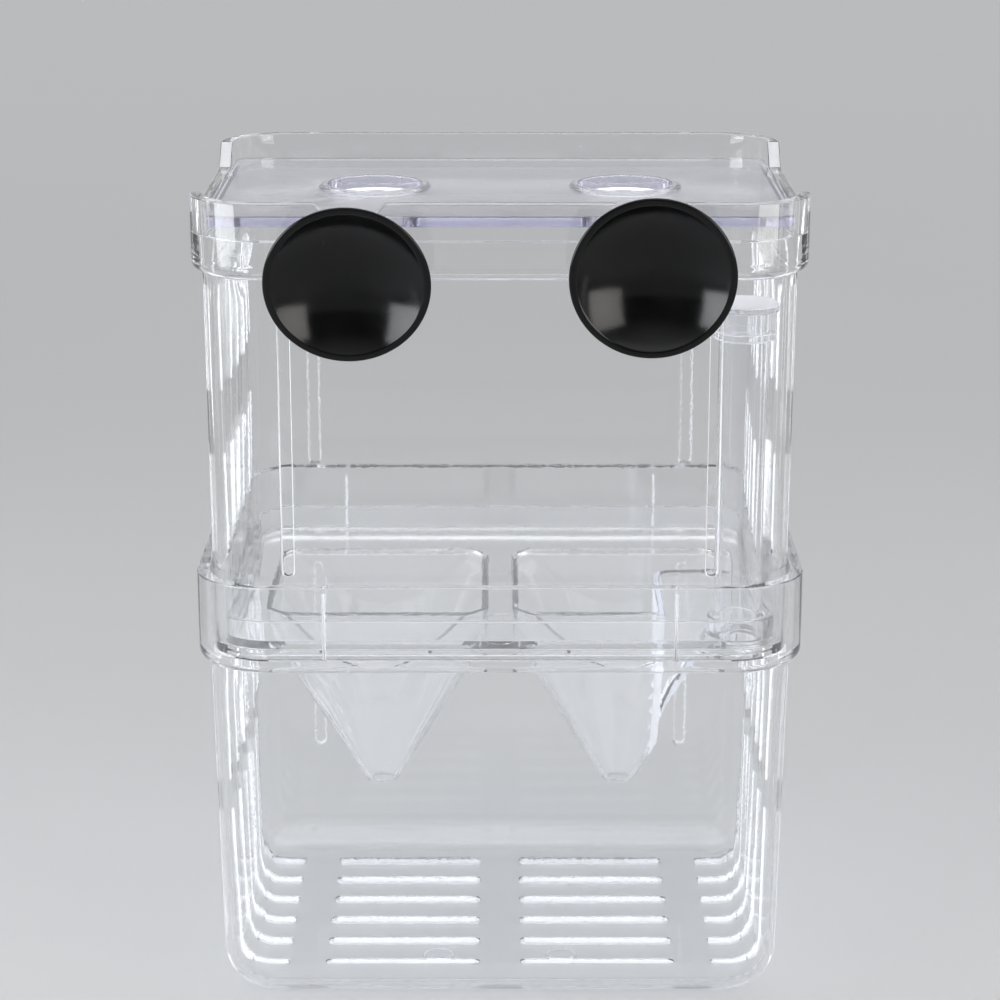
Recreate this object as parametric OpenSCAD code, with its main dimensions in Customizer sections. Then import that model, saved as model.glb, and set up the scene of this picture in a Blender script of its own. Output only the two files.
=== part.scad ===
// Double-deck breeding box for an aquarium.
// An upper room with two funnels in its floor nests in the collar of a lower
// room, so that fry drop through the funnels out of the adults' reach.
// Origin: middle of the underside. X to the right, Y to the back, Z up.

/* [Overall] */
// Outside width of the upper collar, left to right
collar_w = 130; // [120:1:150]
// Outside depth of the upper collar, front to back
collar_d = 100; // [94:1:120]
// Height from the table to the upper rim
total_h = 180; // [170:1:200]
// Outside corner radius of the upper collar
corner_r = 15.5; // [14:0.5:18]

/* [Walls] */
// Thickness of the body walls
wall = 2; // [1.6:0.1:2.4]
// Thickness of both collars' walls
collar_wall = 2.8; // [2.4:0.1:3]
// Thickness of the lower floor
floor_t = 2; // [1.6:0.1:3]
// Radius of the rounded underside edges of the collars
collar_round = 2.2; // [1:0.1:2.4]

/* [Lower box] */
// Height of the lower box's rim
lower_h = 98; // [90:1:104]
// Height of the lower collar
lower_collar_h = 19.6; // [14:0.2:24]
// Thickness of the lower collar's step, which carries the upper box
lower_web = 2.6; // [2:0.1:4]
// How far the lower collar stands out from the wall below it
lower_step = 2.5; // [2:0.1:3.5]
// Draft of the lower walls, in degrees
lower_draft = 0.9; // [0.3:0.1:1.2]
// Radius of the bottom edge
bottom_r = 9.5; // [6:0.5:11]
// Width of the guide ribs inside the collar
guide_w = 0.8; // [0.5:0.1:1.5]
// How far each guide rib lies inside the corner axes
guide_inset = 11.9; // [8:0.1:20]

/* [Upper box] */
// Height of the upper collar
upper_collar_h = 16; // [14:0.5:20]
// How far the upper collar stands out from the wall below it
upper_step = 2.3; // [2:0.1:3]
// Draft of the upper walls, in degrees
upper_draft = 0.4; // [0.2:0.1:0.8]
// Depth of the lid's ledge below the rim
ledge_depth = 8.2; // [7:0.1:9]
// Width of the lid's ledge
ledge_w = 1.5; // [1:0.1:1.8]
// Thickness of the inward flange that carries the tray
flange_t = 1.6; // [1.2:0.1:2.5]
// Width of the inward flange
flange_w = 3; // [2:0.1:3.2]
// Depth of the finger notches in the side rims
notch_depth = 5.2; // [3:0.1:6]
// How far a finger notch's bottom ends inside the corner axes
notch_inset = 6; // [4:0.5:12]
// Slant of a finger notch's ends
notch_slant = 6; // [2:0.5:8]

/* [Slots] */
// Width of the water slots
slot_w = 2.4; // [1.6:0.1:3.5]
// Spacing of the rows of slots
row_pitch = 11.6; // [9:0.1:12.5]
// Number of rows
row_count = 6; // [2:2:6]
// Inner end of the floor slots, from the middle
floor_slot_in = 4.8; // [3:0.1:10]
// How far the floor slots end inside the corner axes
floor_slot_inset = 10; // [7:0.1:15]
// How far the slots that turn up the side walls start inside the corner axes
side_slot_inset = 1.2; // [0.5:0.1:3]
// Top of the slots that turn up the side walls
side_slot_top = 39.2; // [25:0.1:44]
// Gap between the two banks of side slots of the lower box
lower_bank_gap = 7.2; // [4:0.1:12]
// How far the front and back slots lie inside the corner axes
long_slot_inset = 4.5; // [2.5:0.1:8]
// Bottom of the long slots in the back of the lower box
back_slot_low = 26.8; // [20:0.1:40]
// Distance between a slot's top and the underside of the collar above it
slot_top_gap = 4.5; // [3:0.1:10]
// Distance between the lower rim and the slots above it
slot_rim_gap = 1.6; // [1:0.1:6]
// Middle of the solid band between the banks of the upper box's side slots
upper_band_z = 129; // [120:0.5:136]
// Height of that band
upper_band_h = 14; // [6:0.5:20]

/* [Tray] */
// Thickness of the tray
tray_t = 1.5; // [1.2:0.1:2]
// Height of the tray's rim above its plate
tray_rim_h = 4.7; // [2:0.1:8]
// Distance of each funnel's axis from the middle
funnel_x = 27.6; // [27:0.1:28]
// Inside half width of a funnel's square well
well_half = 23.5; // [18:0.1:24]
// Wall of the funnels
funnel_wall = 1.2; // [1:0.1:1.4]
// Outside radius of a funnel's tip
tip_r = 3.65; // [3.6:0.05:5]
// Radius of the hole in a funnel's tip
tip_hole_r = 2.95; // [2.6:0.05:3]
// Height of the funnels' tips above the table
tip_z = 35.6; // [30:0.1:45]
// Half angle of the funnels, in degrees
funnel_angle = 30.8; // [29:0.1:31.5]
// Distance from the right funnel's axis to the flat that cuts its corner
bite_offset = 8.8; // [7:0.1:14]
// Back side of that flat
bite_y = 6; // [0:0.1:10]
// Corner radius of that flat
bite_r = 4; // [2:0.5:6]

/* [Feed tube] */
// Distance of the tube's axis from the upper collar's right face
tube_from_side = 13.5; // [13:0.1:14.5]
// Distance of the tube's axis from the upper collar's front face
tube_from_front = 13; // [12.5:0.1:14]
// Outside radius of the tube
tube_r = 5.2; // [4.6:0.1:5.6]
// Wall of the tube
tube_wall = 1.2; // [0.8:0.1:1.4]
// Height of the tube's top below the upper rim
tube_top_drop = 24.5; // [23:0.5:40]
// Height of the socket on the tray
socket_h = 4; // [2:0.5:8]
// Wall of the socket
socket_wall = 1.3; // [1:0.1:1.6]
// Height of the cap's skirt
cap_skirt_h = 6.2; // [4:0.1:10]
// Wall of the cap
cap_wall = 1.05; // [0.8:0.05:1.3]
// Radius of the cap's disc
cap_disc_r = 7.3; // [6.8:0.1:7.5]
// Thickness of the cap's disc
cap_disc_t = 1.5; // [1:0.1:2.5]

/* [Lid] */
// Gap in front of the lid, where the suction cups' heads are
lid_front_gap = 6.9; // [6.8:0.1:12]
// Gap behind the lid
lid_back_gap = 10.1; // [4:0.1:16]
// Thickness of the lid
lid_t = 2.3; // [1.8:0.1:3]
// Corner radius of the lid
lid_r = 4; // [2:0.5:8]
// Height of the ribs that the lid rests on
lid_rib_h = 1.6; // [1:0.1:2]
// Width of those ribs
lid_rib_w = 1.4; // [1:0.1:2]
// How far the feeding ports lie in front of the funnels' axes
port_forward = 2.2; // [0:0.1:6]
// Radius of a feeding port
port_r = 10.3; // [6:0.1:12]
// Width of the ring round a port
port_ring = 1.7; // [1:0.1:3]
// Height of the ring above and below the lid
port_lip = 0.6; // [0.3:0.1:1]

/* [Suction cups] */
// How far each cup lies inside the corner axes
cup_inset = 18.7; // [16:0.1:24]
// Radius of a cup
cup_r = 17; // [14:0.1:18]
// Depth of a cup's hollow
cup_hollow = 6.6; // [5:0.1:7]
// Height of a cup's dome behind its rim
cup_dome = 8.6; // [8.4:0.1:9.4]
// Radius of the neck that sits in the rim's slot
neck_r = 3.9; // [3:0.1:4.4]
// Start of the neck, behind the cup's rim
neck_from = 12; // [11.5:0.1:12]
// End of the neck, behind the cup's rim
neck_to = 19; // [19:0.1:20]
// Radius of the boss in front of the neck
boss_r = 5.8; // [5:0.1:6]
// Radius of the head behind the neck
head_r = 6.2; // [5.2:0.1:6.2]
// Thickness of the head
head_t = 2.9; // [2:0.1:3]
// Rim of a cup in front of the collar
cup_forward = 13.4; // [13.2:0.1:13.6]
// Height of the neck's axis below the rim, where it enters the slot
neck_drop = 11.1; // [10.8:0.1:11.3]
// Droop of the left cup, in degrees
droop_left = 13.5; // [6:0.5:14]
// Droop of the right cup, in degrees
droop_right = 8; // [6:0.5:14]
// Width of the slot's mouth at the rim
slot_mouth_w = 14.7; // [12:0.1:18]

/* [Clearances] */
// Gap between the upper box and the lower collar
nest_gap = 0.8; // [0.6:0.1:1]
// Height of a piece above the seat that carries it
seat_gap = 0.15; // [0.05:0.05:0.3]
// Gap between the tray and the upper box
tray_gap = 0.35; // [0.2:0.05:0.6]
// Gap between the lid and the collar, at each side
lid_gap = 0.6; // [0.4:0.1:0.7]
// Radial gap of the tube in its socket and its cap
tube_gap = 0.08; // [0.03:0.01:0.1]
// Gap between a neck and its slot, at each side
neck_gap = 0.7; // [0.5:0.1:0.8]

/* [Hidden] */
$fn = 48;

clear_plastic = [0.86, 0.88, 0.9, 0.4];
lid_plastic = [0.76, 0.76, 0.94, 0.5];
cup_rubber = [0.06, 0.06, 0.06];
mark_h = 0.25;          // height of a round mould mark
through = 1;            // how far a cut runs past the face it opens
overlap = 0.2;          // how far a joined shape runs into its neighbour

// All walls turn round the same four corner axes.
corner_x = collar_w / 2 - corner_r;
corner_y = collar_d / 2 - corner_r;

// Places along the walls, from those axes
long_slot_x = corner_x - long_slot_inset;
floor_slot_out = corner_x - floor_slot_inset;
side_slot_in = corner_x - side_slot_inset;
guide_x = corner_x - guide_inset;
cup_x = corner_x - cup_inset;
notch_half = corner_y - notch_inset;
tube_x = collar_w / 2 - tube_from_side;
tube_y = collar_d / 2 - tube_from_front;
bite_x = funnel_x + bite_offset;

// Heights
lower_collar_z = lower_h - lower_collar_h;
nest_z = lower_collar_z + lower_web;
upper_z = nest_z + seat_gap;
upper_collar_z = total_h - upper_collar_h;
ledge_z = total_h - ledge_depth;
tray_z = upper_z + flange_t + seat_gap;
tray_top = tray_z + tray_t;
lid_z = ledge_z + seat_gap + lid_rib_h;
tube_z = tray_z + tray_t / 2 + seat_gap;
tube_top = total_h - tube_top_drop;

// Radii round the corner axes
upper_top_r = corner_r - upper_step;
upper_bottom_r = upper_top_r - (upper_collar_z - upper_z) * tan(upper_draft);
upper_collar_in = corner_r - collar_wall;
lower_collar_in = upper_bottom_r + nest_gap;
lower_collar_out = lower_collar_in + collar_wall;
lower_top_r = lower_collar_out - lower_step;
lower_bottom_r = lower_top_r - lower_collar_z * tan(lower_draft);
tray_r = upper_bottom_r - wall - tray_gap;

// Rows of slots
rows = [for (i = [0 : row_count - 1]) (i - (row_count - 1) / 2) * row_pitch];

// ---------- shared shapes ----------

// Turns a wall section round the four corner axes. The section's X runs
// outward from a corner axis and its Y runs up.
module round_the_box() {
    for (sx = [0, 1], sy = [0, 1])
        mirror([sx, 0, 0]) mirror([0, sy, 0])
            translate([corner_x, corner_y, 0]) rotate_extrude(angle = 90) children();
    for (s = [0, 1]) {
        mirror([s, 0, 0])
            translate([corner_x, corner_y, 0]) rotate([90, 0, 0])
                linear_extrude(2 * corner_y) children();
        mirror([0, s, 0])
            translate([-corner_x, corner_y, 0]) rotate([90, 0, 90])
                linear_extrude(2 * corner_x) children();
    }
}

// Flat plate that fills the middle between the corner axes
module middle_plate(z, thickness) {
    translate([-corner_x, -corner_y, z]) cube([2 * corner_x, 2 * corner_y, thickness]);
}

// Outline of a rectangle with round corners
module rounded_rect(w, d, r) {
    square([w - 2 * r, d], center = true);
    square([w, d - 2 * r], center = true);
    for (sx = [-1, 1], sy = [-1, 1])
        translate([sx * (w / 2 - r), sy * (d / 2 - r)]) circle(r);
}

// Outline of a slot from a to b along X, with round ends
module slot_outline(a, b) {
    translate([a + slot_w / 2, -slot_w / 2]) square([b - a - slot_w, slot_w]);
    for (x = [a + slot_w / 2, b - slot_w / 2]) translate([x, 0]) circle(slot_w / 2);
}

// Upright slot cut through the side walls at height from a to b
module side_slots(a, b) {
    for (s = [0, 1], y = rows)
        mirror([s, 0, 0]) translate([corner_x, y, 0]) rotate([90, -90, 90])
            linear_extrude(collar_w / 2) slot_outline(a, b);
}

// Upright slots cut through the back wall, or the front wall with s = 1
module long_slots(a, b, s) {
    mirror([0, s, 0])
        for (x = [-long_slot_x, long_slot_x])
            translate([x, corner_y, 0]) rotate([0, -90, -90])
                linear_extrude(collar_d / 2) slot_outline(a, b);
}

// ---------- lower box ----------

module lower_outside() {
    square([lower_bottom_r - bottom_r, lower_h]);
    translate([lower_bottom_r - bottom_r, bottom_r]) circle(bottom_r);
    polygon([
        [0, bottom_r],
        [lower_bottom_r, bottom_r],
        [lower_top_r, lower_collar_z + overlap],
        [0, lower_collar_z + overlap]
    ]);
    translate([0, lower_collar_z]) square([lower_collar_out - collar_round, collar_round]);
    translate([lower_collar_out - collar_round, lower_collar_z + collar_round])
        circle(collar_round);
    translate([0, lower_collar_z + collar_round])
        square([lower_collar_out, lower_h - lower_collar_z - collar_round]);
}

module lower_inside() {
    inner_round = bottom_r - wall;
    inner_bottom = lower_bottom_r - wall;
    translate([-through, floor_t]) square([inner_bottom - inner_round + through, lower_h]);
    translate([inner_bottom - inner_round, floor_t + inner_round]) circle(inner_round);
    polygon([
        [-through, floor_t + inner_round],
        [inner_bottom, floor_t + inner_round],
        [lower_top_r - wall, nest_z],
        [-through, nest_z]
    ]);
    translate([-through, nest_z]) square([lower_collar_in + through, lower_h]);
}

// Floor slot that turns up the side wall
module wrap_slots() {
    for (s = [0, 1], y = rows)
        mirror([s, 0, 0]) translate([0, y - slot_w / 2, 0]) {
            translate([side_slot_in, 0, -through])
                cube([corner_x + lower_bottom_r - side_slot_in + through, slot_w, bottom_r + through]);
            translate([corner_x + lower_bottom_r - bottom_r, 0, 0])
                cube([bottom_r + lower_step + through, slot_w, side_slot_top]);
        }
}

module guide_ribs() {
    rib_y = corner_y + lower_collar_in;
    for (s = [0, 1], x = [-guide_x, guide_x])
        mirror([0, s, 0]) translate([x - guide_w / 2, rib_y - nest_gap / 2, nest_z])
            cube([guide_w, nest_gap / 2 + overlap, lower_h - nest_z - slot_rim_gap]);
}

module lower_box() color(clear_plastic) {
    mark_x = 14;
    mark_y = 25.7;
    mark_r = 3.3;
    difference() {
        union() {
            round_the_box() difference() {
                intersection() {
                    lower_outside();
                    square([collar_w, total_h]);
                }
                lower_inside();
            }
            middle_plate(0, floor_t);
            guide_ribs();
            for (x = [-mark_x, mark_x])
                translate([x, -mark_y, floor_t - overlap]) cylinder(mark_h + overlap, r = mark_r);
        }
        for (s = [0, 1], y = rows)
            mirror([s, 0, 0]) translate([0, y, -through])
                linear_extrude(floor_t + 2 * through) slot_outline(floor_slot_in, floor_slot_out);
        wrap_slots();
        side_slots(side_slot_top + lower_bank_gap, lower_collar_z - slot_top_gap);
        long_slots(back_slot_low, lower_collar_z - slot_top_gap, 0);
    }
}

// ---------- upper box ----------

module upper_wall() {
    inner_step_z = ledge_z - 4;
    polygon([
        [upper_bottom_r - wall - flange_w, upper_z],
        [upper_bottom_r, upper_z],
        [upper_top_r, upper_collar_z + overlap],
        [upper_top_r, ledge_z],
        [upper_collar_in - ledge_w, ledge_z],
        [upper_top_r - wall, inner_step_z],
        [upper_bottom_r - wall, upper_z + flange_t],
        [upper_bottom_r - wall - flange_w, upper_z + flange_t]
    ]);
    translate([upper_top_r - overlap, upper_collar_z])
        square([corner_r - collar_round - upper_top_r + overlap, ledge_depth]);
    translate([corner_r - collar_round, upper_collar_z + collar_round]) circle(collar_round);
    translate([upper_collar_in, upper_collar_z + collar_round])
        square([collar_wall, upper_collar_h - collar_round]);
}

// Slot in the front rim that a suction cup's neck drops into
module cup_slot() {
    half = neck_r + neck_gap;
    mouth = slot_mouth_w / 2;
    slot_z = total_h - neck_drop;
    chamfer = mouth - half;
    rotate([90, 0, 0]) linear_extrude(collar_d / 2) {
        translate([0, slot_z]) circle(half);
        polygon([
            [-half, slot_z],
            [half, slot_z],
            [half, total_h - chamfer],
            [mouth, total_h],
            [mouth, total_h + through],
            [-mouth, total_h + through],
            [-mouth, total_h],
            [-half, total_h - chamfer]
        ]);
    }
}

module finger_notches() {
    bottom = total_h - notch_depth;
    slope = notch_slant / notch_depth;
    rotate([90, 0, 90]) translate([0, 0, -collar_w]) linear_extrude(2 * collar_w)
        polygon([
            [-notch_half, bottom],
            [notch_half, bottom],
            [notch_half + slope * (notch_depth + through), total_h + through],
            [-notch_half - slope * (notch_depth + through), total_h + through]
        ]);
}

module upper_box() color(clear_plastic) {
    slot_low = lower_h + slot_rim_gap;
    slot_high = upper_collar_z - slot_top_gap;
    difference() {
        round_the_box() upper_wall();
        finger_notches();
        for (x = [-cup_x, cup_x]) translate([x, -corner_y, 0]) cup_slot();
        side_slots(slot_low, upper_band_z - upper_band_h / 2);
        side_slots(upper_band_z + upper_band_h / 2, slot_high);
        for (s = [0, 1]) long_slots(slot_low, slot_high, s);
    }
}

// ---------- funnel tray ----------

// Plan of the corner that is cut from the right funnel, grown by g
module bite_outline(g) {
    x = bite_x - g;
    y = bite_y + g;
    r = bite_r + g;
    far = collar_w;
    translate([x + r, -far]) square([far, far + y]);
    translate([x, -far]) square([far, far + y - r]);
    translate([x + r, y - r]) circle(r);
}

// Body of a funnel, a cone inside a square well. shrink = 0 gives its outside
// and shrink = funnel_wall its inside.
module funnel_body(shrink, low, high) {
    side_shrink = shrink / cos(funnel_angle);
    slope = tan(funnel_angle);
    half = well_half + funnel_wall - shrink;
    intersection() {
        translate([0, 0, low])
            cylinder(
                high - low,
                r1 = tip_r - side_shrink + (low - tip_z) * slope,
                r2 = tip_r - side_shrink + (high - tip_z) * slope
            );
        translate([-half, -half, low]) cube([2 * half, 2 * half, high - low]);
    }
}

module funnel(x, shrink, low, high, bitten) {
    difference() {
        translate([x, 0, 0]) funnel_body(shrink, low, high);
        if (bitten)
            translate([0, 0, low - through]) linear_extrude(high - low + 2 * through)
                bite_outline(shrink);
    }
}

// Floor of the upper room, with its rim and the socket of the feed tube
module funnel_tray() color(clear_plastic) {
    mark_y = 28.7;
    mark_r = 3.15;
    socket_r = tube_r + tube_gap;
    difference() {
        union() {
            round_the_box() polygon([
                [0, tray_z],
                [tray_r, tray_z],
                [tray_r, tray_top + tray_rim_h],
                [tray_r - tray_t, tray_top + tray_rim_h],
                [tray_r - tray_t, tray_top],
                [0, tray_top]
            ]);
            middle_plate(tray_z, tray_t);
            translate([tube_x, -tube_y, tray_z])
                cylinder(tray_t + socket_h, r = socket_r + socket_wall);
            translate([0, -mark_y, tray_top - overlap])
                cylinder(mark_h + overlap, r = mark_r);
        }
        funnel(-funnel_x, funnel_wall, tray_z - through, tray_top + through, false);
        funnel(funnel_x, funnel_wall, tray_z - through, tray_top + through, true);
        translate([tube_x, -tube_y, 0]) {
            translate([0, 0, tray_z - through]) cylinder(tray_t + through, r = tube_r - tube_wall);
            translate([0, 0, tube_z - seat_gap]) cylinder(tray_t + socket_h + through, r = socket_r);
        }
    }
}

// Funnel below the tray's floor, moulded in one with it
module hollow_funnel(x, bitten) color(clear_plastic) {
    difference() {
        funnel(x, 0, tip_z, tray_z, bitten);
        funnel(x, funnel_wall, tip_z - through, tray_z + through, bitten);
        translate([x, 0, tip_z - through]) cylinder(2 * through, r = tip_hole_r);
    }
}

module funnel_left() hollow_funnel(-funnel_x, false);

module funnel_right() hollow_funnel(funnel_x, true);

// ---------- feed tube ----------

module feed_tube() color(clear_plastic) {
    translate([tube_x, -tube_y, tube_z]) difference() {
        cylinder(tube_top - tube_z, r = tube_r);
        translate([0, 0, -through])
            cylinder(tube_top - tube_z + 2 * through, r = tube_r - tube_wall);
    }
}

module feed_tube_cap() color(clear_plastic) {
    bead = 0.25;
    bead_h = 1.8;
    skirt_r = tube_r + tube_gap + cap_wall;
    cap_z = tube_top + seat_gap - cap_skirt_h;
    translate([tube_x, -tube_y, cap_z]) difference() {
        union() {
            cylinder(cap_skirt_h + overlap, r = skirt_r);
            cylinder(bead_h, r = skirt_r + bead);
            translate([0, 0, cap_skirt_h]) cylinder(cap_disc_t, r = cap_disc_r);
        }
        translate([0, 0, -through]) cylinder(cap_skirt_h + through, r = tube_r + tube_gap);
    }
}

// ---------- lid ----------

module lid() color(lid_plastic) {
    lid_w = 2 * (corner_x + upper_collar_in - lid_gap);
    lid_front = corner_y + upper_collar_in - lid_front_gap;
    lid_back = corner_y + upper_collar_in - lid_back_gap;
    lid_d = lid_front + lid_back;
    translate([0, 0, lid_z]) difference() {
        union() {
            translate([0, (lid_back - lid_front) / 2, 0])
                linear_extrude(lid_t) rounded_rect(lid_w, lid_d, lid_r);
            for (s = [0, 1])
                mirror([s, 0, 0]) translate([lid_w / 2 - lid_rib_w, -notch_half, -lid_rib_h])
                    cube([lid_rib_w, 2 * notch_half, lid_rib_h + overlap]);
            for (x = [-funnel_x, funnel_x])
                translate([x, -port_forward, -port_lip])
                    cylinder(lid_t + 2 * port_lip, r = port_r + port_ring);
        }
        for (x = [-funnel_x, funnel_x])
            translate([x, -port_forward, -port_lip - through])
                cylinder(lid_t + 2 * (port_lip + through), r = port_r);
    }
}

// ---------- suction cups ----------

// Section of a cup: X from its axis, Y backwards from its rim
module cup_section() {
    lip = 0.7;
    head_round = 1.2;
    head_end = neck_to + head_t;
    dome_r = (pow(cup_r, 2) + pow(cup_dome - lip, 2)) / (2 * (cup_dome - lip));
    hollow_r = (pow(cup_r, 2) + pow(cup_hollow, 2)) / (2 * cup_hollow);
    difference() {
        union() {
            intersection() {
                translate([0, cup_dome - dome_r]) circle(dome_r, $fn = 96);
                square([cup_r, cup_dome]);
            }
            square([boss_r, neck_from]);
        }
        translate([0, cup_hollow - hollow_r]) circle(hollow_r, $fn = 96);
    }
    translate([0, neck_from - overlap]) square([neck_r, neck_to - neck_from + 2 * overlap]);
    translate([0, neck_to]) square([head_r - head_round, head_t]);
    translate([0, neck_to]) square([head_r, head_t - head_round]);
    translate([head_r - head_round, head_end - head_round]) circle(head_round);
}

// Cup whose neck crosses the collar's outer face at height entry_z
module suction_cup(x, droop) {
    entry_z = total_h - neck_drop;
    rim_y = -collar_d / 2 - cup_forward;
    rim_z = entry_z - cup_forward * tan(droop);
    color(cup_rubber) translate([x, rim_y, rim_z]) rotate([droop - 90, 0, 0])
        rotate_extrude() cup_section();
}

module suction_cup_left() suction_cup(-cup_x, droop_left);

module suction_cup_right() suction_cup(cup_x, droop_right);

lower_box();
upper_box();
funnel_tray();
funnel_left();
funnel_right();
lid();
feed_tube();
feed_tube_cap();
suction_cup_left();
suction_cup_right();
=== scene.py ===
"""Fish breeding box: clear moulded plastic and black rubber cups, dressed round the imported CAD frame."""

import math

import bmesh
import bpy
from mathutils import Matrix, Vector


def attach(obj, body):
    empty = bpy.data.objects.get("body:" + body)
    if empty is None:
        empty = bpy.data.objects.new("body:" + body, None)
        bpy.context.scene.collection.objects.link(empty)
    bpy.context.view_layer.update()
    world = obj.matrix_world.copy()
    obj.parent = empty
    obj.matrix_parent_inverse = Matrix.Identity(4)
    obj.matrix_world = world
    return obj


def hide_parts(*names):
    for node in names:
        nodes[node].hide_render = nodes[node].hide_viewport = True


MM = 0.001

# Places on the CAD model, in its millimetres.
GUIDE_X = 37.6
LEDGE_Z = 81.0
TRAY_Z = 82.9
LID_SEAT_Z = 171.8
NOTCH_FLOOR_Z = 174.7
CAP_BEAD_TOP = 151.4
CAP_TOP = 157.15
# The guide ribs stand on the inside of the lower collar, between these heights and beyond this depth. A rib
# and its foot reach GUIDE_FOOT to each side of its middle, and its flat top reaches GUIDE_TOP.
GUIDE_Z = (80, 98)
GUIDE_MIN_Y = 40
GUIDE_FOOT = 1.2
GUIDE_TOP = 0.24
# The floor's slots lie below FLOOR_SLOT_TOP and within FLOOR_HALF. The walls' foot is round up to FOOT_Z.
FLOOR_SLOT_TOP = 2.2
FLOOR_HALF = (57, 40)
FOOT_Z = 12
# The walls' slots lie in these ranges of height, which leave out the rims of the collars.
WALL_SLOT_Z = ((FLOOR_SLOT_TOP, 76), (84, 96), (100, 162))
# The front and back walls lie beyond FRONT_MIN_Y and are flat over FRONT_HALF to each side. The side walls
# lie beyond SIDE_MIN_X and are flat over SIDE_HALF to the front and back.
FRONT_MIN_Y = 38
FRONT_HALF = 49.5
SIDE_MIN_X = 50
SIDE_HALF = 34.5
# The seats in the two collars lie beyond these depths, and their edges reach this far above and below. The
# finger notches lie beyond NOTCH_MIN_X and within NOTCH_HALF.
LEDGE_MIN_Y = 46
LEDGE_EDGE = 0.4
LID_SEAT_MIN_Y = 40
LID_SEAT_EDGE = 0.45
NOTCH_MIN_X = 60
NOTCH_HALF = 46
# The flat wall that closes the bitten side of the right funnel lies between these, seen from the front.
BITE_WALL_X = (34.6, 36.7)
# Depths between which that wall meets the cone behind it.
BITE_BEHIND_Y = (3.5, 8.5)

# A face whose normal has a smaller share than this along an axis is an edge of the flat face across it.
EDGE_TURN = 0.9
# Other shares of a face's normal. A slot's side has less than UPRIGHT upward in the floor, and more than
# ALONG to the front or back at the walls' foot. A seat's rounded edge has more than LEANING upward.
UPRIGHT = 0.35
ALONG = 0.8
LEANING = 0.1
# Edges that turn by more degrees than this are rounded, and faces that turn by less than FLAT are one face.
SHARP = 28.0
FLAT = 0.6
# Points nearer to each other than this, in metres, are one point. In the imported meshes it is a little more.
SAME_POINT = 1e-6
SAME_PACKED_POINT = 2e-6
# Where nodes are joined in one moulding, it is more again, and edges shorter than SLIVER are dropped.
SAME_JOINED_POINT = 0.04 * MM
SLIVER = 0.01 * MM

PLASTIC_IOR = 1.5
# Width of the soft boxes' beam, in radians.
BEAM = 2.0
# The suction cups' necks hold in the rim at CUP_X and CUP_NECK_Z, to each side. The cups' faces lie at
# CUP_FACE_Y, which is CUP_TO_RIM in front of that. All are in metres. The cups droop by angles in degrees.
CUP_X = 0.0308
CUP_FACE_Y = -0.0634
CUP_NECK_Z = 0.1689
CUP_TO_RIM = 0.0134
LEFT_DROOP = 13.5
RIGHT_DROOP = 8.0

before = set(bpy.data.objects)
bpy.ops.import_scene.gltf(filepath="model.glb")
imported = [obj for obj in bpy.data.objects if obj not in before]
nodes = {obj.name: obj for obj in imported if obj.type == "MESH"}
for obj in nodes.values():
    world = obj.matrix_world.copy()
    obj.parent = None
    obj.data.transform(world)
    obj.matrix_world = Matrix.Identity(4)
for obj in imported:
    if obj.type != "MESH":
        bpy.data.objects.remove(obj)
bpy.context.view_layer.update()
scene = bpy.context.scene


# ---------- camera ----------

def make_camera():
    """Camera that sees the object as the photograph does."""
    data = bpy.data.cameras.new("camera")
    data.sensor_width = 36.0
    data.sensor_fit = "HORIZONTAL"
    data.lens = 100.8
    data.clip_start = 0.01
    data.clip_end = 50.0
    camera = bpy.data.objects.new("camera", data)
    camera.location = (0.0, -0.6154, 0.2789)
    camera.rotation_euler = (math.radians(74.05), 0.0, 0.0)
    scene.collection.objects.link(camera)
    scene.camera = camera


# ---------- materials ----------

def node_tree(name):
    material = bpy.data.materials.new(name)
    material.use_nodes = True
    tree = material.node_tree
    tree.nodes.clear()
    return material, tree


def add(tree, kind, **values):
    n = tree.nodes.new(kind)
    for key, value in values.items():
        socket = key.replace("_", " ")
        if socket in n.inputs:
            n.inputs[socket].default_value = value
        else:
            setattr(n, key, value)
    return n


def noise(tree, coordinate, scale, detail=2.0, roughness=0.5, stretch=(1, 1, 1)):
    """Noise in object space, in cycles per metre, stretched along an axis."""
    mapping = add(tree, "ShaderNodeMapping")
    mapping.inputs["Scale"].default_value = stretch
    tree.links.new(coordinate, mapping.inputs["Vector"])
    n = add(tree, "ShaderNodeTexNoise", Scale=scale, Detail=detail, Roughness=roughness)
    tree.links.new(mapping.outputs["Vector"], n.inputs["Vector"])
    return n.outputs["Fac"]


def ramp(tree, source, low, high, a, b):
    n = add(tree, "ShaderNodeMapRange")
    n.inputs["From Min"].default_value = low
    n.inputs["From Max"].default_value = high
    n.inputs["To Min"].default_value = a
    n.inputs["To Max"].default_value = b
    tree.links.new(source, n.inputs["Value"])
    return n.outputs["Result"]


def two_tones(tree, source, low, dark, high, light):
    """Colour that goes from dark, where source is low, to light, where it is high."""
    n = add(tree, "ShaderNodeValToRGB")
    first, last = n.color_ramp.elements
    first.position = low
    first.color = (*dark, 1)
    last.position = high
    last.color = (*light, 1)
    tree.links.new(source, n.inputs["Fac"])
    return n.outputs["Color"]


def bump(tree, height, strength, distance):
    n = add(tree, "ShaderNodeBump", Strength=strength, Distance=distance)
    tree.links.new(height, n.inputs["Height"])
    return n


def open_to_lamps(tree, shader, colour):
    """Shader through which lamps shine in a colour, so that clear pieces cast almost no shade."""
    clear = add(tree, "ShaderNodeBsdfTransparent", Color=(*colour, 1))
    path = add(tree, "ShaderNodeLightPath")
    mix = add(tree, "ShaderNodeMixShader")
    tree.links.new(path.outputs["Is Shadow Ray"], mix.inputs[0])
    tree.links.new(shader.outputs["BSDF"], mix.inputs[1])
    tree.links.new(clear.outputs["BSDF"], mix.inputs[2])
    return mix.outputs["Shader"]


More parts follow.
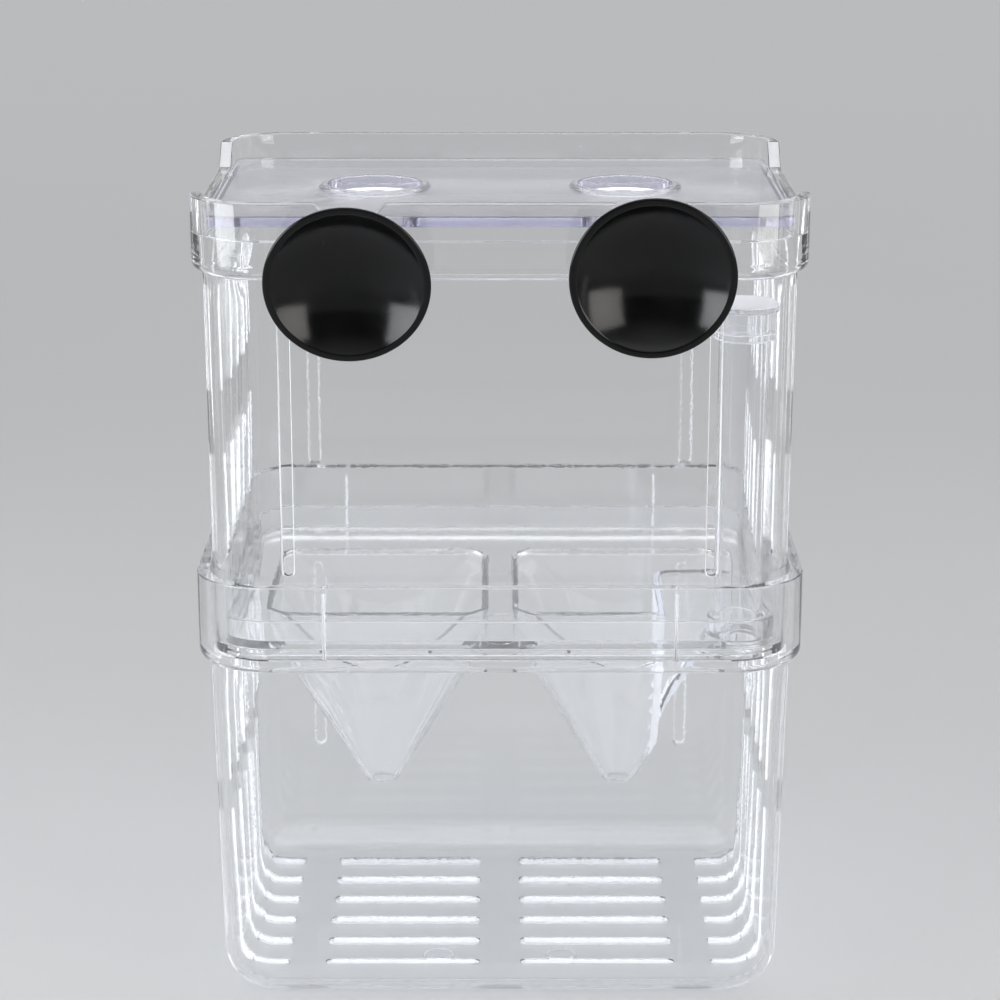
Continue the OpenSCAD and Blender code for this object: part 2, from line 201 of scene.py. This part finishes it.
def clear_plastic(name, tint, absorb, density, wave, haze, streaks=0.0, clear=1.0):
    """Moulded clear plastic with faint flow waves, and with upright streaks near the corners."""
    material, tree = node_tree(name)
    links = tree.links
    place = add(tree, "ShaderNodeTexCoord").outputs["Object"]
    glass = add(
        tree, "ShaderNodeBsdfPrincipled", Base_Color=(*tint, 1), IOR=PLASTIC_IOR, Transmission_Weight=clear
    )
    broad = noise(tree, place, 38.0, 1.0, 0.4, (1, 1, 0.45))
    fine = noise(tree, place, 900.0, 3.0, 0.6)
    links.new(ramp(tree, fine, 0.35, 0.75, haze * 0.5, haze * 1.6), glass.inputs["Roughness"])
    relief = bump(tree, broad, wave, 0.002)
    if streaks:
        across = add(tree, "ShaderNodeSeparateXYZ")
        links.new(place, across.inputs[0])
        side = add(tree, "ShaderNodeMath", operation="ABSOLUTE")
        links.new(across.outputs["X"], side.inputs[0])
        draw = add(tree, "ShaderNodeBump", Distance=0.001)
        links.new(ramp(tree, side.outputs[0], 0.046, 0.052, 0.0, streaks), draw.inputs["Strength"])
        links.new(noise(tree, place, 260.0, 2.0, 0.5, (1, 1, 0.012)), draw.inputs["Height"])
        links.new(relief.outputs["Normal"], draw.inputs["Normal"])
        relief = draw
    scuff = bump(tree, fine, 0.03, 0.0002)
    links.new(relief.outputs["Normal"], scuff.inputs["Normal"])
    links.new(scuff.outputs["Normal"], glass.inputs["Normal"])
    body = add(tree, "ShaderNodeVolumeAbsorption", Color=(*absorb, 1), Density=density)
    out = add(tree, "ShaderNodeOutputMaterial")
    links.new(open_to_lamps(tree, glass, (0.93, 0.935, 0.945)), out.inputs["Surface"])
    links.new(body.outputs["Volume"], out.inputs["Volume"])
    return material


def frost_and_painted_glow_plastic(name):
    """White, half clear plastic for edges that show as white lines: partly a frosted finish, partly a painted
    glow that stands for the light carried through the clear plastic's edges.
    """
    material, tree = node_tree(name)
    links = tree.links
    place = add(tree, "ShaderNodeTexCoord").outputs["Object"]
    frost = add(tree, "ShaderNodeBsdfPrincipled", IOR=PLASTIC_IOR, Transmission_Weight=0.45)
    grain = noise(tree, place, 1400.0, 3.0, 0.6)
    tone = two_tones(tree, grain, 0.3, (0.86, 0.865, 0.9), 0.7, (0.97, 0.97, 0.985))
    links.new(tone, frost.inputs["Base Color"])
    links.new(ramp(tree, grain, 0.3, 0.7, 0.28, 0.45), frost.inputs["Roughness"])
    links.new(bump(tree, grain, 0.15, 0.0002).outputs["Normal"], frost.inputs["Normal"])
    out = add(tree, "ShaderNodeOutputMaterial")
    links.new(open_to_lamps(tree, frost, (0.85, 0.855, 0.87)), out.inputs["Surface"])
    return material


def black_rubber():
    material, tree = node_tree("cup_rubber")
    links = tree.links
    place = add(tree, "ShaderNodeTexCoord").outputs["Object"]
    rubber = add(tree, "ShaderNodeBsdfPrincipled", IOR=1.52)
    rubber.inputs["Specular IOR Level"].default_value = 0.22
    cloud = noise(tree, place, 160.0, 3.0, 0.55)
    grain = noise(tree, place, 3200.0, 2.0, 0.5)
    tone = two_tones(tree, cloud, 0.3, (0.0015, 0.0015, 0.0017), 0.75, (0.003, 0.003, 0.0032))
    links.new(tone, rubber.inputs["Base Color"])
    links.new(ramp(tree, cloud, 0.3, 0.75, 0.11, 0.19), rubber.inputs["Roughness"])
    links.new(bump(tree, grain, 0.05, 0.0002).outputs["Normal"], rubber.inputs["Normal"])
    out = add(tree, "ShaderNodeOutputMaterial")
    links.new(rubber.outputs["BSDF"], out.inputs["Surface"])
    return material


def floor_with_painted_light():
    material, tree = node_tree("floor_with_painted_light")
    place = add(tree, "ShaderNodeTexCoord").outputs["Object"]
    paint = add(tree, "ShaderNodeBsdfPrincipled", Roughness=0.7)
    paint.inputs["Specular IOR Level"].default_value = 0.2
    # Painted light: the floor's colour is darker near the middle, where the lamps pool their light, and
    # lighter farther off, where their light falls off, so that it looks evenly bright. The faint cloud on it
    # is a random tone.
    away = add(tree, "ShaderNodeVectorMath", operation="LENGTH")
    tree.links.new(place, away.inputs[0])
    cloud = ramp(tree, noise(tree, place, 8.0), 0.3, 0.7, -0.012, 0.012)
    tone = add(tree, "ShaderNodeMath", operation="ADD")
    tree.links.new(ramp(tree, away.outputs["Value"], 0.2, 2.6, 0.0, 1.0), tone.inputs[0])
    tree.links.new(cloud, tone.inputs[1])
    colour = two_tones(tree, tone.outputs[0], 0.0, (0.50, 0.503, 0.51), 1.0, (0.68, 0.685, 0.695))
    tree.links.new(colour, paint.inputs["Base Color"])
    out = add(tree, "ShaderNodeOutputMaterial")
    tree.links.new(paint.outputs["BSDF"], out.inputs["Surface"])
    return material


# ---------- meshes ----------

def new_object(name, mesh, material):
    for polygon in mesh.polygons:
        polygon.use_smooth = True
    mesh.materials.clear()
    mesh.materials.append(material)
    piece = bpy.data.objects.new(name, mesh)
    scene.collection.objects.link(piece)
    return piece


def welded(node):
    """Scratch copy of a node's mesh with its doubled points joined."""
    bm = bmesh.new()
    bm.from_mesh(nodes[node].data)
    bmesh.ops.remove_doubles(bm, verts=bm.verts, dist=SAME_PACKED_POINT)
    mesh = bpy.data.meshes.new(node + "_welded")
    bm.to_mesh(mesh)
    bm.free()
    scratch = bpy.data.objects.new(node + "_welded", mesh)
    scene.collection.objects.link(scratch)
    return scratch


def one_moulding(parts):
    """Mesh of one node, or of several nodes that were moulded in one."""
    scratch = [welded(node) for node in parts]
    for other in scratch[1:]:
        join = scratch[0].modifiers.new("join", "BOOLEAN")
        join.operation = "UNION"
        join.solver = "EXACT"
        join.object = other
    mesh = bpy.data.meshes.new_from_object(scratch[0].evaluated_get(bpy.context.evaluated_depsgraph_get()))
    for piece in scratch:
        bpy.data.objects.remove(piece)
    return mesh


def slot_wall(at, normal):
    """Tells whether a face of a box is a side, an end or a rounded edge of one of its water slots."""
    if at.z < FLOOR_SLOT_TOP:
        return abs(at.x) < FLOOR_HALF[0] and abs(at.y) < FLOOR_HALF[1] and abs(normal.z) < UPRIGHT
    if not any(low < at.z < high for low, high in WALL_SLOT_Z):
        return False
    if abs(at.x) > SIDE_MIN_X and abs(at.y) < SIDE_HALF:
        return abs(normal.x) < EDGE_TURN and (at.z > FOOT_Z or abs(normal.y) > ALONG)
    on_front = abs(at.y) > FRONT_MIN_Y and abs(at.x) < FRONT_HALF and at.z > FOOT_Z
    return on_front and abs(normal.y) < EDGE_TURN and not near_guide(at)


def near_guide(at, reach=GUIDE_FOOT):
    """Tells whether a point is within reach of the middle of a guide rib."""
    beside = abs(abs(at.x) - GUIDE_X) < reach
    return beside and GUIDE_Z[0] < at.z < GUIDE_Z[1] and abs(at.y) > GUIDE_MIN_Y


def lower_frost_and_painted_glow(at, normal):
    """Faces of the lower box that get the frosted white with its painted glow: slots, guide ribs and the edge
    of the seat in the collar.
    """
    guide = near_guide(at, GUIDE_TOP)
    on_ledge = abs(at.z - LEDGE_Z) < LEDGE_EDGE and abs(at.y) > LEDGE_MIN_Y and abs(at.x) < FRONT_HALF
    seat = on_ledge and LEANING < normal.z < EDGE_TURN
    return slot_wall(at, normal) or guide or seat


def upper_frost_and_painted_glow(at, normal):
    """Faces of the upper box that get the frosted white with its painted glow: slots, the finger notches'
    ends and the lid's seat.
    """
    in_notch = at.z > NOTCH_FLOOR_Z and abs(at.x) > NOTCH_MIN_X and abs(at.y) < NOTCH_HALF
    notch_end = in_notch and abs(normal.y) > 0.35 and abs(normal.x) < 0.5
    by_seat = abs(at.z - LID_SEAT_Z) < LID_SEAT_EDGE
    on_seat = by_seat and abs(at.y) > LID_SEAT_MIN_Y and abs(at.x) < FRONT_HALF
    seat = on_seat and LEANING < normal.z < EDGE_TURN
    return slot_wall(at, normal) or notch_end or seat


def bite_wall(at, normal):
    """Tells whether a face is on the flat wall of the right funnel's bite, or beside it on the cone."""
    if at.z > TRAY_Z - 0.5:
        return False
    behind = at.x > BITE_WALL_X[1] and BITE_BEHIND_Y[0] < at.y < BITE_BEHIND_Y[1] and abs(normal.y) < 0.7
    in_front = BITE_WALL_X[0] < at.x < BITE_WALL_X[1] and at.y < 0
    return in_front or behind


def cap_frost_and_painted_glow(at, normal):
    """Faces of the feed tube's cap that get the frosted white with its painted glow: the top of its disc and
    the edges of its bead.
    """
    bead = at.z < CAP_BEAD_TOP and 0.2 < abs(normal.z) < EDGE_TURN
    disc_top = at.z > CAP_TOP - 0.3 and normal.z > 0.3
    return bead or disc_top


def middle(edge):
    return (edge.verts[0].co + edge.verts[1].co) / 2


def open_edges(bm):
    return sum(1 for e in bm.edges if len(e.link_faces) != 2)


def moulded(parts, radius, material, body, segments=2, frost_and_painted_glow_faces=None, cuts=()):
    """Dresses the nodes in parts in their own shape, with every edge rounded as a mould leaves it.

    Faces that the face test picks get the frosted white plastic, whose white is partly a painted glow. The
    mesh is cut at each X in cuts, so that these faces can end there.
    """
    node = parts[0]
    bm = bmesh.new()
    bm.from_mesh(one_moulding(parts))
    if len(parts) > 1:
        # Where two nodes met, points that should be one can lie a little apart.
        bmesh.ops.remove_doubles(bm, verts=bm.verts, dist=SAME_JOINED_POINT)
        bmesh.ops.dissolve_degenerate(bm, dist=SLIVER, edges=bm.edges)
    bmesh.ops.dissolve_limit(
        bm, angle_limit=math.radians(FLAT), use_dissolve_boundaries=False, verts=bm.verts, edges=bm.edges
    )
    edges = [e for e in bm.edges if len(e.link_faces) == 2 and e.calc_face_angle() > math.radians(SHARP)]
    if node == "lower_box":
        # A rounded foot would make the narrow guide ribs look wide.
        edges = [e for e in edges if e.is_convex or not near_guide(middle(e) / MM)]
    bmesh.ops.bevel(
        bm, geom=edges, offset=radius, offset_type="OFFSET", segments=segments, profile=0.5,
        affect="EDGES", clamp_overlap=False, loop_slide=True
    )
    bmesh.ops.remove_doubles(bm, verts=bm.verts, dist=SAME_POINT)
    for x in cuts:
        everything = bm.verts[:] + bm.edges[:] + bm.faces[:]
        bmesh.ops.bisect_plane(
            bm, geom=everything, dist=SAME_POINT, plane_co=(x * MM, 0, 0), plane_no=(1, 0, 0)
        )
    bmesh.ops.triangulate(bm, faces=bm.faces, quad_method="BEAUTY", ngon_method="BEAUTY")
    print("MOULDED", node, "faces", len(bm.faces), "edges not closed", open_edges(bm))
    mesh = bpy.data.meshes.new(node + "_visual")
    bm.to_mesh(mesh)
    bm.free()
    piece = new_object(node + "_moulded", mesh, material)
    # Faces that the test picks get the frosted white, which is partly a painted glow.
    if frost_and_painted_glow_faces:
        mesh.materials.append(frost_and_painted_glow_edge)
        for polygon in mesh.polygons:
            if frost_and_painted_glow_faces(polygon.center / MM, polygon.normal):
                polygon.material_index = 1
    weighted = piece.modifiers.new("weighted", "WEIGHTED_NORMAL")
    weighted.weight = 60
    weighted.keep_sharp = False
    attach(piece, body)
    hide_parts(*parts)


def arc(centre, radius, start, end, count):
    """Points of an arc in the section's plane, from angle start to end in degrees."""
    step = (end - start) / (count - 1)
    return [
        (
            centre[0] + radius * math.cos(math.radians(start + step * i)),
            centre[1] + radius * math.sin(math.radians(start + step * i)),
        )
        for i in range(count)
    ]


def lathe(name, section, segments):
    """Closed mesh turned from a section of (distance from the axis, place along it), in millimetres.

    The first and last points of the section lie on the axis.
    """
    bm = bmesh.new()
    rings = []
    turn = 2 * math.pi / segments
    for r, t in section:
        if r == 0:
            rings.append([bm.verts.new((0, 0, t * MM))])
            continue
        rings.append([
            bm.verts.new((r * MM * math.cos(turn * i), r * MM * math.sin(turn * i), t * MM))
            for i in range(segments)
        ])
    for a, b in zip(rings, rings[1:]):
        for i in range(segments):
            j = (i + 1) % segments
            if len(a) == 1:
                bm.faces.new((a[0], b[j], b[i]))
            elif len(b) == 1:
                bm.faces.new((a[i], a[j], b[0]))
            else:
                bm.faces.new((a[i], a[j], b[j], b[i]))
    bmesh.ops.recalc_face_normals(bm, faces=bm.faces)
    print("LATHE", name, "edges not closed", open_edges(bm))
    mesh = bpy.data.meshes.new(name)
    bm.to_mesh(mesh)
    bm.free()
    return mesh


def cup_section():
    """Half section of a suction cup, from the middle of its hollow round to the middle of its head."""
    hollow_edge, hollow_deep = 15.35, 5.9
    rise = hollow_deep - 0.35
    rho = (hollow_edge ** 2 + rise ** 2) / (2 * rise)
    start, steps = 2.4, 22
    half = math.degrees(math.asin(hollow_edge / rho))
    hollow = [(0.0, hollow_deep + 0.05), (0.3, hollow_deep + 0.04), (0.6, hollow_deep)]
    hollow += [
        (rho * math.sin(math.radians(a)), hollow_deep - rho + rho * math.cos(math.radians(a)))
        for a in [start + (half - start) * i / steps for i in range(steps + 1)]
    ]
    lip = [
        (15.5, 0.22), (15.65, 0.14), (15.85, 0.09), (16.15, 0.06), (16.45, 0.06), (16.7, 0.1),
        (16.86, 0.19), (16.96, 0.32), (16.99, 0.46), (16.96, 0.6), (16.85, 0.74),
    ]
    dome = [
        (16.4, 1.12), (15.6, 1.9), (14.4, 2.95), (13.0, 3.98), (11.4, 5.0), (9.7, 5.9),
        (8.2, 6.62), (7.2, 7.12), (6.55, 7.6), (6.15, 8.2), (5.92, 8.9),
    ]
    boss = [
        (5.8, 9.8), (5.75, 10.8), (5.62, 11.35), (5.3, 11.75), (4.85, 11.94), (4.35, 12.02),
        (4.05, 12.15), (3.92, 12.45),
    ]
    neck = [(3.88, 13.2), (3.86, 15.5), (3.88, 17.8), (3.95, 18.5), (4.15, 18.86), (4.5, 18.98)]
    head = [(5.2, 19.0), (5.75, 19.08), (6.02, 19.25), (6.15, 19.55), (6.18, 20.2)]
    head += arc((4.85, 20.55), 1.33, 0, 90, 7)
    head += [(3.6, 21.89), (1.8, 21.9), (0.9, 21.88), (0.0, 21.86)]
    return hollow + lip + dome + boss + neck + head


def suction_cup(node, x, droop):
    """Rubber cup whose neck holds in its slot in the front rim, drooping by an angle in degrees."""
    place = (x, CUP_FACE_Y, CUP_NECK_Z - CUP_TO_RIM * math.tan(math.radians(droop)))
    mesh = lathe(node + "_visual", cup_section(), 128)
    piece = new_object(node + "_turned", mesh, rubber)
    mesh.transform(Matrix.Translation(place) @ Matrix.Rotation(math.radians(droop - 90), 4, "X"))
    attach(piece, node)
    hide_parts(node)


# ---------- stage ----------

def area_light(name, place, aim, size, power):
    """Soft, flat lamp in metres and watts, which the camera doesn't see."""
    data = bpy.data.lights.new(name, "AREA")
    data.shape = "RECTANGLE"
    data.size, data.size_y = size
    data.energy = power
    lamp = bpy.data.objects.new(name, data)
    lamp.location = place
    direction = Vector(aim) - Vector(place)
    lamp.rotation_euler = direction.to_track_quat("-Z", "Y").to_euler()
    lamp.visible_camera = False
    scene.collection.objects.link(lamp)
    return lamp


def soft_box(name, x, y, width, power, tint):
    """Tall lamp beside the camera, with a narrow beam that stays off the floor beside it.

    It isn't seen through the plastic, where it would blot out the object in views from behind.
    """
    lamp = area_light(name, (x, y, 0.225), (0, -0.05, 0.17), (width, 0.34), power)
    lamp.data.spread = BEAM
    lamp.data.color = tint
    lamp.visible_transmission = False


def studio_walls():
    """World: a pale ceiling over grey walls, dim behind the camera, with a plain level of light."""
    world = bpy.data.worlds.new("world")
    world.use_nodes = True
    tree = world.node_tree
    tree.nodes.clear()
    links = tree.links
    way = add(tree, "ShaderNodeTexCoord").outputs["Generated"]
    parts = add(tree, "ShaderNodeSeparateXYZ")
    links.new(way, parts.inputs[0])
    wall = add(tree, "ShaderNodeMapRange")
    wall.inputs["From Min"].default_value = 0.35
    wall.inputs["From Max"].default_value = 0.75
    wall.inputs["To Max"].default_value = 1.1
    links.new(parts.outputs["Z"], wall.inputs["Value"])
    links.new(ramp(tree, parts.outputs["Y"], -0.7, 0.1, 0.06, 0.5), wall.inputs["To Min"])
    path = add(tree, "ShaderNodeLightPath")
    seen = add(tree, "ShaderNodeMath", operation="MAXIMUM")
    links.new(path.outputs["Is Glossy Ray"], seen.inputs[0])
    links.new(path.outputs["Is Transmission Ray"], seen.inputs[1])
    through = add(tree, "ShaderNodeMapRange")
    through.inputs["To Min"].default_value = 0.45
    links.new(seen.outputs[0], through.inputs["Value"])
    links.new(wall.outputs["Result"], through.inputs["To Max"])
    direct = add(tree, "ShaderNodeMapRange")
    direct.inputs["To Max"].default_value = 0.5
    links.new(path.outputs["Is Camera Ray"], direct.inputs["Value"])
    links.new(through.outputs["Result"], direct.inputs["To Min"])
    background = add(tree, "ShaderNodeBackground", Color=(0.97, 0.985, 1.0, 1))
    links.new(direct.outputs["Result"], background.inputs["Strength"])
    out = add(tree, "ShaderNodeOutputWorld")
    links.new(background.outputs["Background"], out.inputs["Surface"])
    return world


def make_stage():
    """Floor, lamps and world. The floor lies a hair below the object, which stands at height 0."""
    bm = bmesh.new()
    bmesh.ops.create_grid(bm, x_segments=8, y_segments=8, size=4.0)
    mesh = bpy.data.meshes.new("floor")
    bm.to_mesh(mesh)
    bm.free()
    floor = new_object("floor", mesh, floor_with_painted_light())
    floor.location = (0, 0, -0.0002)
    # Two soft boxes stand left and right of the camera, thin strips stand beside and behind the object,
    # and a broad panel hangs overhead.
    soft_box("panel_left", -0.51, -0.33, 0.36, 1.55, (0.94, 0.97, 1))
    soft_box("panel_right", 0.45, -0.43, 0.34, 0.88, (1, 0.98, 0.95))
    for side in (-1, 1):
        for x, y in ((0.40, 0.06), (0.36, -0.17), (0.30, 0.30)):
            name = "strip_%d_%d" % (round(x * side * 100), round(y * 100))
            area_light(name, (x * side, y, 0.20), (0, y * 0.5, 0.20), (0.022, 0.36), 0.035)
    area_light("top", (0, 0.2, 2.4), (0, 0.2, 0), (5.0, 5.0), 52.0)
    scene.world = studio_walls()


make_camera()
make_stage()

PALE = (0.985, 0.985, 0.99)
ROOM_TINT = (0.9, 0.93, 0.96)
TUBE_TINT = (0.9, 0.91, 0.96)
body_plastic = clear_plastic("clear_body", (0.985, 0.988, 0.99), ROOM_TINT, 4.0, 0.05, 0.03, streaks=0.08)
tray_plastic = clear_plastic("clear_tray", PALE, ROOM_TINT, 4.0, 0.05, 0.03, clear=0.972)
tube_plastic = clear_plastic("clear_tube", PALE, TUBE_TINT, 4.0, 0.03, 0.03)
cap_plastic = clear_plastic("hazy_cap", PALE, TUBE_TINT, 4.0, 0.03, 0.05, clear=0.97)
lid_plastic = clear_plastic(
    "tinted_lid", (0.955, 0.953, 0.995), (0.72, 0.70, 0.97), 11.0, 0.04, 0.03, clear=0.975
)
# Frosted white for edges; its white is partly a painted glow that stands for the light carried through the
# clear plastic's edges.
frost_and_painted_glow_edge = frost_and_painted_glow_plastic("frost_and_painted_glow_edge")
rubber = black_rubber()

moulded(["lower_box"], 0.35 * MM, body_plastic, "lower_box", 3, frost_and_painted_glow_faces=lower_frost_and_painted_glow)
moulded(["upper_box"], 0.35 * MM, body_plastic, "upper_box", 3, frost_and_painted_glow_faces=upper_frost_and_painted_glow)
# The bite's wall and the cone beside it get the frosted white with its painted glow.
moulded(
    ["funnel_tray", "funnel_left", "funnel_right"], 0.3 * MM, tray_plastic, "funnel_tray",
    frost_and_painted_glow_faces=bite_wall, cuts=BITE_WALL_X
)
moulded(["lid"], 0.35 * MM, lid_plastic, "lid")
moulded(["feed_tube"], 0.25 * MM, tube_plastic, "feed_tube")
moulded(["feed_tube_cap"], 0.2 * MM, cap_plastic, "feed_tube_cap", frost_and_painted_glow_faces=cap_frost_and_painted_glow)
suction_cup("suction_cup_left", -CUP_X, LEFT_DROOP)
suction_cup("suction_cup_right", CUP_X, RIGHT_DROOP)

scene.cycles.max_bounces = 32
scene.cycles.transmission_bounces = 32
scene.cycles.glossy_bounces = 8
scene.cycles.transparent_max_bounces = 32
scene.view_settings.view_transform = "Standard"
